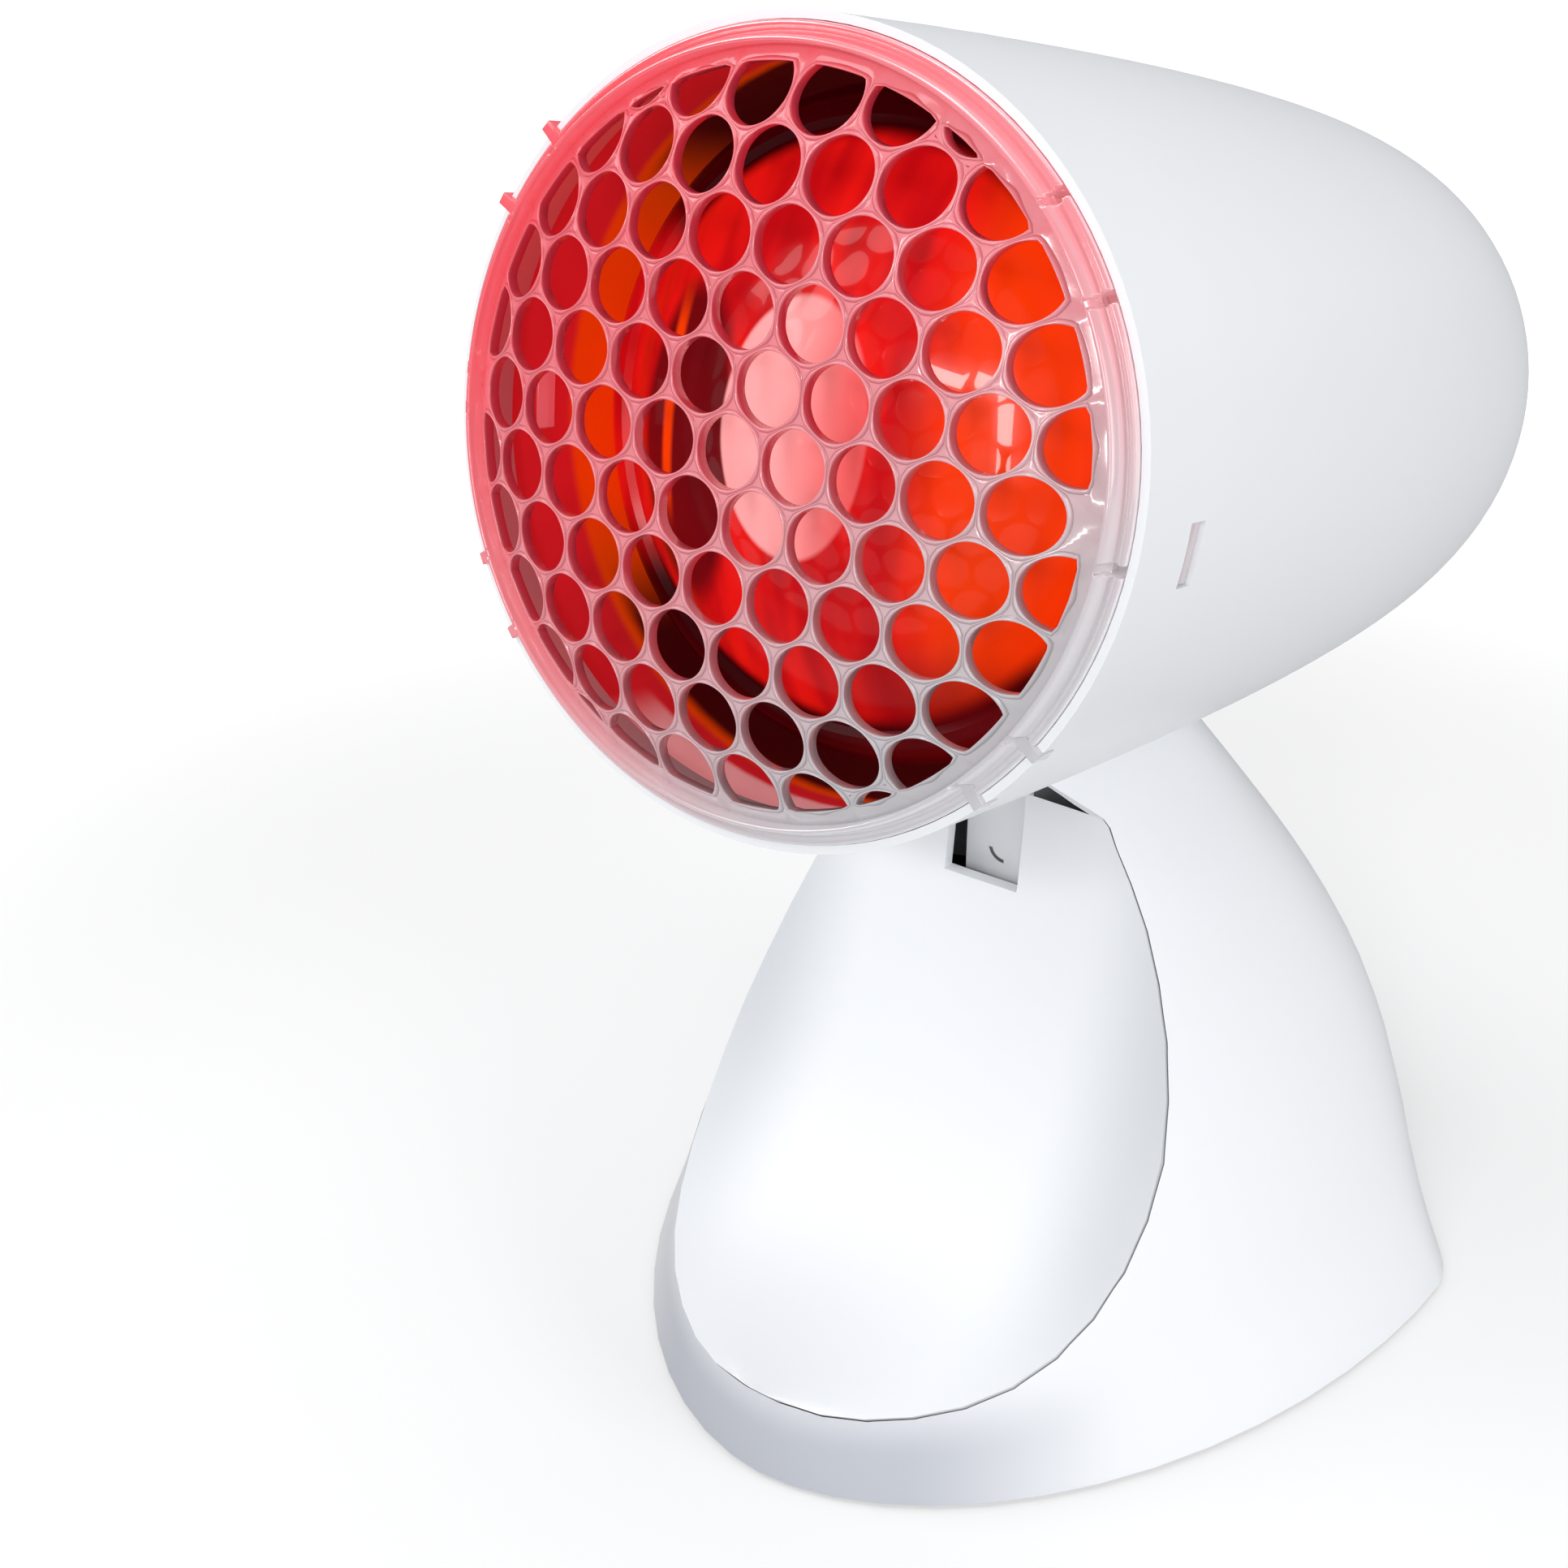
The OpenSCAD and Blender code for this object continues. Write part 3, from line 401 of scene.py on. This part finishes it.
finishes = {
    "white_plastic": plastic("whitePlastic", whiteLook),
    "black_plastic": plastic("blackPlastic", {"colour": (0.02, 0.02, 0.022, 1), "roughness": 0.45,
                                              "uneven": 0.2, "grain": 1800.0, "bump": 0.35}),
    "ceramic": plastic("ceramic", {"colour": (0.8, 0.78, 0.72, 1), "roughness": 0.2, "uneven": 0.1,
                                   "grain": 700.0, "bump": 0.2}),
    "rubber": plastic("rubber", {"colour": (0.03, 0.03, 0.033, 1), "roughness": 0.75, "uneven": 0.2,
                                 "grain": 1500.0, "bump": 0.5, "gloss": 0.3}),
    "steel": metal("zincedSteel", {"dark": (0.5, 0.51, 0.53, 1), "light": (0.75, 0.76, 0.78, 1),
                                   "scale": 400.0, "roughness": 0.22, "uneven": 0.2}),
    "brass": metal("stampedBrass", {"dark": (0.5, 0.33, 0.12, 1), "light": (0.8, 0.6, 0.28, 1),
                                    "scale": 300.0, "roughness": 0.2, "uneven": 0.25}),
    "red_glass": rubyGlassPaintedReflections("rubyGlassPaintedReflections", bulbLook),
    "clear_plastic": frostedClearPaintedRedLight("frostedClearPaintedRedLight", clearLook),
}
ownFinish = {"head_housing": housingPlasticPaintedRedLight("housingPlasticPaintedRedLight", whiteLook, insideLook),
             "front_panel": shadedPlastic("panelPlasticPaintedShade", panelLook, panelPaintedShade),
             "stand_shell": shadedPlastic("standPlasticPaintedShade", toeLook, toePaintedShade),
             "tilt_arm": shadedPlastic("armPlasticPaintedShade", armLook, armSlotPaintedShade)}
print("materials made")

dressing = {"weld": 0.002 * mm, "crease": 32}
slotOf = {s["node"]: s["material_slot"] for s in frame["record"]["subparts"]}
for name, node in frame["nodes"].items():
    material = ownFinish.get(name, finishes[slotOf[name]])
    if not node.material_slots:
        node.data.materials.append(material)
    for materialSlot in node.material_slots:
        materialSlot.material = material
    weld = node.modifiers.new("weld", "WELD")
    weld.merge_threshold = dressing["weld"]
    split = node.modifiers.new("creases", "EDGE_SPLIT")
    split.split_angle = math.radians(dressing["crease"])
    node.data.polygons.foreach_set("use_smooth", np.ones(len(node.data.polygons), dtype=bool))
print("CAD nodes dressed")

# grille: a domed plate of cells with round-lipped holes, and a ring round them
grille = {"pitch": 8.7 * mm, "holeRadius": 4.05 * mm, "domeHeight": 8.38 * mm, "domeFlat": 1.2,
          "domeReach": 0.94, "plate": 1.5 * mm, "rowCounts": (9, 10, 9, 8, 7, 6), "holeLimit": 40.6 * mm,
          "startInside": 0.6 * mm, "cellLimit": 43.3 * mm, "webLeast": 0.1 * mm, "holeLeast": 0.02 * mm,
          "cellSteps": 48, "lipWidth": 0.62 * mm, "lipShare": 0.95, "backEdge": 0.1 * mm,
          # each hole's lip: distance from the hole's wall, depth below the dome, share of the edge's colour, which
          # is painted shade
          "lipProfile": ((0.62, 0.0, 0.0), (0.52, 0.07, 0.7), (0.42, -0.04, 0.35), (0.32, -0.2, 0.0),
                         (0.2, -0.28, 0.0), (0.08, -0.22, 0.15), (0.01, -0.05, 0.55), (0.0, 0.2, 0.85)),
          "backShares": (1, 1, 0.6)}
tiny = 1e-9


# the dome's height over the rim is h (1 - q)(1 + flat q), where q is the radius over its reach, squared
def domeHeight(radius):
    q = (radius / (grille["domeReach"] * head["rimRadius"])) ** 2
    return grille["domeHeight"] * (1 - q) * (1 + grille["domeFlat"] * q)


# distance from each start along each direction to a circle about the middle
def toCircle(starts, directions, radius):
    along = np.einsum("hi,ti->ht", starts, directions)
    return -along + np.sqrt(np.maximum(along**2 + radius**2 - (starts**2).sum(1)[:, None], 0))


# centres of the holes: rows of a hexagonal lattice, a pitch times the sine of 60 degrees apart
def holeCentres():
    rows = []
    last = len(grille["rowCounts"]) - 1
    for row in range(-last, last + 1):
        count = grille["rowCounts"][abs(row)]
        xs = (np.arange(count) - (count - 1) / 2) * grille["pitch"]
        rows.append(np.stack([xs, np.full(count, row * grille["pitch"] * math.sin(math.radians(60)))], 1))
    return np.concatenate(rows)


# points, quads and edge shares of all cells, each a fan of profiles from its outline to its hole and back
def grilleCells():
    centres = holeCentres()
    angle = np.arange(grille["cellSteps"]) * 2 * math.pi / grille["cellSteps"]
    ways = np.stack([np.cos(angle), np.sin(angle)], 1)
    # cells are drawn from a start point, which is the hole's centre or lies just inside the limit
    far = np.maximum(np.hypot(centres[:, 0], centres[:, 1]), tiny)
    start = centres * np.minimum(1, (grille["holeLimit"] - grille["startInside"]) / far)[:, None]
    offset = start - centres
    # a cell ends half way to each neighbour, or at the ring
    gaps = centres[None] - centres[:, None]
    apart = np.linalg.norm(gaps, axis=2)
    near = (apart > 0) & (apart < 1.9 * grille["pitch"])
    facing = np.einsum("hni,ti->hnt", gaps, ways)
    room = apart**2 / 2 - np.einsum("hni,hi->hn", gaps, offset)
    reach = np.where(near[:, :, None] & (facing > tiny), room[:, :, None] / np.maximum(facing, tiny), 1.0)
    outer = np.minimum(reach.min(1), toCircle(start, ways, grille["cellLimit"]))
    leaning = np.einsum("hi,ti->ht", offset, ways)
    own = -leaning + np.sqrt(leaning**2 + grille["holeRadius"] ** 2 - (offset**2).sum(1)[:, None])
    inner = np.minimum(own, toCircle(start, ways, grille["holeLimit"]))
    inner = np.maximum(np.minimum(inner, outer - grille["webLeast"]), grille["holeLeast"])
    lip = np.minimum(1.0, (outer - inner) * grille["lipShare"] / grille["lipWidth"])
    ahead, below, share = np.array(grille["lipProfile"]).T
    out = [outer] + [inner + lip * a * mm for a in ahead] + [inner, inner + lip * grille["backEdge"], outer]
    plate = 0 * outer + grille["plate"]
    down = [0 * outer] + [lip * b * mm for b in below] + [plate - grille["backEdge"], plate, plate]
    out = np.stack(out, 1)
    down = np.stack(down, 1)
    edge = np.concatenate([[0], share, grille["backShares"]])[None, :, None] + 0 * out
    x = start[:, 0, None, None] + out * ways[None, None, :, 0]
    y = start[:, 1, None, None] + out * ways[None, None, :, 1]
    z = domeHeight(np.hypot(x, y)) - down
    cell = np.arange(len(centres))[:, None, None] * out.shape[1] * len(angle)
    quads = (gridQuads(out.shape[1], len(angle))[None] + cell).reshape(-1, 4)
    return intoHead(x, y, z).reshape(-1, 3), quads, edge.ravel()


# the ring's profile as radius and height over the rim, and the angles of its slits in degrees
ring = {"profile": ((42.4, 1.5), (42.5, 2.6), (42.8, 3.0), (43.15, 2.6), (43.4, 1.3), (43.6, 0.5),
                    (43.8, 0.35), (44.0, 0.5), (44.15, 0.85), (44.45, 1.0), (44.75, 0.85), (44.88, 0.4),
                    (44.88, -4.8), (42.4, -4.8)),
        "slits": (45.1, 30.1, -5.3, -33.9, -45.4, 139.9, 152.9, 178.7, -175.2, -151.9, -139.7),
        "slitWidth": 1.5, "slitDepth": 4.5 * mm, "slitFrom": 42.95 * mm, "slitAbove": -2 * mm, "steps": 1440}


# the ring's profile carried round the rim: in each slit its front is pushed back
def grilleRing():
    profile = np.array(ring["profile"] + ring["profile"][:1]) * mm
    angle = np.arange(ring["steps"]) * 2 * math.pi / ring["steps"]
    radius = np.repeat(profile[:, :1], len(angle), axis=1)
    height = np.repeat(profile[:, 1:], len(angle), axis=1)
    off = np.degrees(angle)[:, None] - np.array(ring["slits"])[None]
    off = np.abs((off + 180) % 360 - 180).min(1)
    front = (radius > ring["slitFrom"]) & (height > ring["slitAbove"])
    height = height - ((off < ring["slitWidth"] / 2)[None] & front) * ring["slitDepth"]
    points = intoHead(radius * np.cos(angle), radius * np.sin(angle), height)
    return points.reshape(-1, 3), gridQuads(len(profile), ring["steps"])


cellPoints, cellQuads, cellEdge = grilleCells()
ringPoints, ringQuads = grilleRing()
grillePiece = newPiece("grilleFace", np.concatenate([cellPoints, ringPoints]),
                       np.concatenate([cellQuads, ringQuads + len(cellPoints)]),
                       finishes["clear_plastic"], "head")
# each point's share of the painted shade on the hole walls and lips
edgeShare = grillePiece.data.attributes.new("edge", "FLOAT", "POINT")
edgeShare.data.foreach_set("value", np.concatenate([cellEdge, np.zeros(len(ringPoints))]).astype(np.float32))
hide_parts("grille")

# small blocks round the rim, each as angle, inner and outer radius, half width, back and front
lugEnds = ((139.9, 46.9), (152.9, 46.8), (178.7, 45.0), (184.8, 45.0), (208.1, 45.9), (220.3, 45.9),
           (-33.9, 46.1), (-45.4, 46.1))
catches = {"tabs": ((-4.5, 43.7, 45.3, 3.5, -14.3, -11.1), (184.5, 43.7, 45.3, 3.5, -14.3, -11.1)),
           "lugs": tuple((angle, 42.9, far, 0.75, -2.4, 0.75) for angle, far in lugEnds),
           "rounding": 0.12 * mm, "roundingSteps": 2}


# boxes with eased edges, each turned to its own angle round the head's axis
def makeBlocks(name, places):
    units = np.array([math.radians(1)] + [mm] * 5)[:, None]
    angle, near, far, half, back, front = np.array(places).T * units
    side = np.array([-1, 1, 1, -1] * 2)
    outward = np.array([0, 0, 1, 1] * 2)
    level = np.repeat([0, 1], 4)
    out = near[:, None] + (far - near)[:, None] * outward
    across = half[:, None] * side
    ahead = back[:, None] + (front - back)[:, None] * level
    cos = np.cos(angle)[:, None]
    sin = np.sin(angle)[:, None]
    points = intoHead(out * cos - across * sin, out * sin + across * cos, ahead)
    faces = np.array([[0, 1, 2, 3], [4, 7, 6, 5], [0, 4, 5, 1], [1, 5, 6, 2], [2, 6, 7, 3], [3, 7, 4, 0]])
    quads = (faces[None] + 8 * np.arange(len(places))[:, None, None]).reshape(-1, 4)
    piece = newPiece(name, points, quads, finishes["clear_plastic"], "head")
    bevel = piece.modifiers.new("easing", "BEVEL")
    bevel.width = catches["rounding"]
    bevel.segments = catches["roundingSteps"]


makeBlocks("grilleTabs", catches["tabs"])
makeBlocks("grilleLugs", catches["lugs"])
print("grille made", len(grillePiece.data.polygons))

# floor, lights and camera
studio = {"floorSize": 8.0, "floorColour": (0.5, 0.5, 0.503, 1), "floorRoughness": 0.9, "floorGloss": 0.1,
          "worldColour": (0.97, 0.98, 1.0, 1), "worldLight": 0.4, "floorGlow": (0.42, 0.97),
          "glowReach": (0.17, 0.5)}


# one for rays that come straight from the camera or through clear plastic
def seenDirectly(tree):
    rays = tree.nodes.new("ShaderNodeLightPath").outputs
    return mathNode(tree, "MAXIMUM", rays["Is Camera Ray"], rays["Is Transmission Ray"])


# white paper that the camera sees a little brighter with distance, so that the lamp's shadow shows
def makeFloor():
    bpy.ops.mesh.primitive_plane_add(size=studio["floorSize"], location=(0, 0, 0))
    floor = bpy.context.object
    floor.name = "floor"
    material, tree, shader = newMaterial("floorPaper")
    setSockets(shader, {"Base Color": studio["floorColour"], "Roughness": studio["floorRoughness"],
                        "Specular IOR Level": studio["floorGloss"], "Emission Color": (1, 1, 1, 1)})
    far = addNode(tree, "ShaderNodeVectorMath", {0: objectPlace(tree)}, operation="LENGTH").outputs["Value"]
    glow = smoothBand(tree, far, *studio["glowReach"], *studio["floorGlow"])
    tree.links.new(times(tree, seenDirectly(tree), glow), shader.inputs["Emission Strength"])
    floor.data.materials.append(material)


def makeWorld():
    world = bpy.data.worlds.new("studio")
    bpy.context.scene.world = world
    world.use_nodes = True
    tree = world.node_tree
    background = next(n for n in tree.nodes if n.type == "BACKGROUND")
    background.inputs["Color"].default_value = studio["worldColour"]
    strength = smoothBand(tree, seenDirectly(tree), 0.0, 1.0, studio["worldLight"], 1.0)
    tree.links.new(strength, background.inputs["Strength"])


def addLamp(name, place, aim, size, watts):
    data = bpy.data.lights.new(name, "AREA")
    data.shape = "RECTANGLE"
    data.size = size[0]
    data.size_y = size[1]
    data.energy = watts
    lamp = bpy.data.objects.new(name, data)
    bpy.context.scene.collection.objects.link(lamp)
    lamp.location = place
    lamp.rotation_euler = (Vector(aim) - Vector(place)).to_track_quat("-Z", "Y").to_euler()


# angles in degrees, the place in metres, the lens as a share of the picture's width
view = {"azimuth": 35.969, "elevation": 27.0, "place": (0.146347, -0.272707, 0.231359),
        "focus": 2894.6 / 1932, "sensor": 36.0, "clip": (0.01, 20)}


# the camera stands where the photo's does
def makeCamera():
    data = bpy.data.cameras.new("camera")
    camera = bpy.data.objects.new("camera", data)
    bpy.context.scene.collection.objects.link(camera)
    azimuth = math.radians(view["azimuth"])
    elevation = math.radians(view["elevation"])
    back = Vector((math.sin(azimuth) * math.cos(elevation), -math.cos(azimuth) * math.cos(elevation),
                   math.sin(elevation)))
    right = Vector((math.cos(azimuth), math.sin(azimuth), 0))
    camera.location = view["place"]
    camera.rotation_euler = Matrix((right, back.cross(right), back)).transposed().to_euler()
    data.sensor_width = view["sensor"]
    data.lens = view["sensor"] * view["focus"]
    data.clip_start = view["clip"][0]
    data.clip_end = view["clip"][1]
    bpy.context.scene.camera = camera


makeFloor()
makeWorld()
addLamp("key", (-0.85, -0.6, 0.95), (0, 0, 0.1), (0.8, 0.8), 6.5)
addLamp("side", (1.15, -0.1, 0.42), (0, 0, 0.12), (0.7, 0.7), 6.2)
addLamp("top", (0.05, 0.1, 1.35), (0, 0, 0.1), (0.9, 0.9), 4.8)
addLamp("stripAbove", (0.16, -0.95, 0.58), (0, -0.07, 0.15), (0.42, 0.07), 2.6)
addLamp("stripBeside", (0.4, -0.93, 0.38), (0, -0.07, 0.15), (0.08, 0.42), 2.6)
makeCamera()
bpy.context.scene.view_settings.view_transform = "Standard"
print("studio made")
